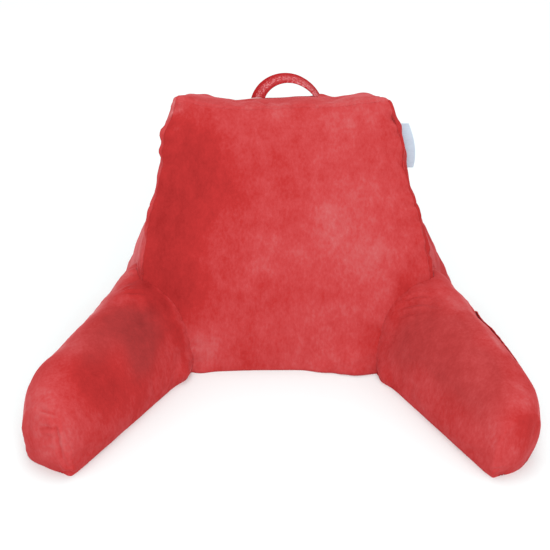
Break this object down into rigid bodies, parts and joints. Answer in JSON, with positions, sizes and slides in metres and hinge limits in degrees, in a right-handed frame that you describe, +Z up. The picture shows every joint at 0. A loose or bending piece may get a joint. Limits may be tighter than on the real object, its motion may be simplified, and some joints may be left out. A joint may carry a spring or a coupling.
{
  "type": "reading pillow with arms",
  "caption": "Free-standing filled velvet back cushion that leans back, with arms that spread forwards from its foot and a carry strap on top.",
  "frame": {"origin": "on the surface that it stands on, under the middle of the whole pillow", "axes": "+Z up, -Y the way the front panel and the arms face, +X to the viewer's right"},
  "size_m": [0.616, 0.4482, 0.3259],
  "materials": {
    "velvet": "short-pile red velvet, soft sheen at grazing angles",
    "strap": "red velvet strap with turned edges",
    "tab": "pale woven satin tab"
  },
  "bodies": {
    "root": {"backrest": "velvet", "arm_left": "velvet", "arm_right": "velvet", "side_pocket": "velvet", "carry_handle": "strap", "side_label": "tab"}
  },
  "joints": []
}
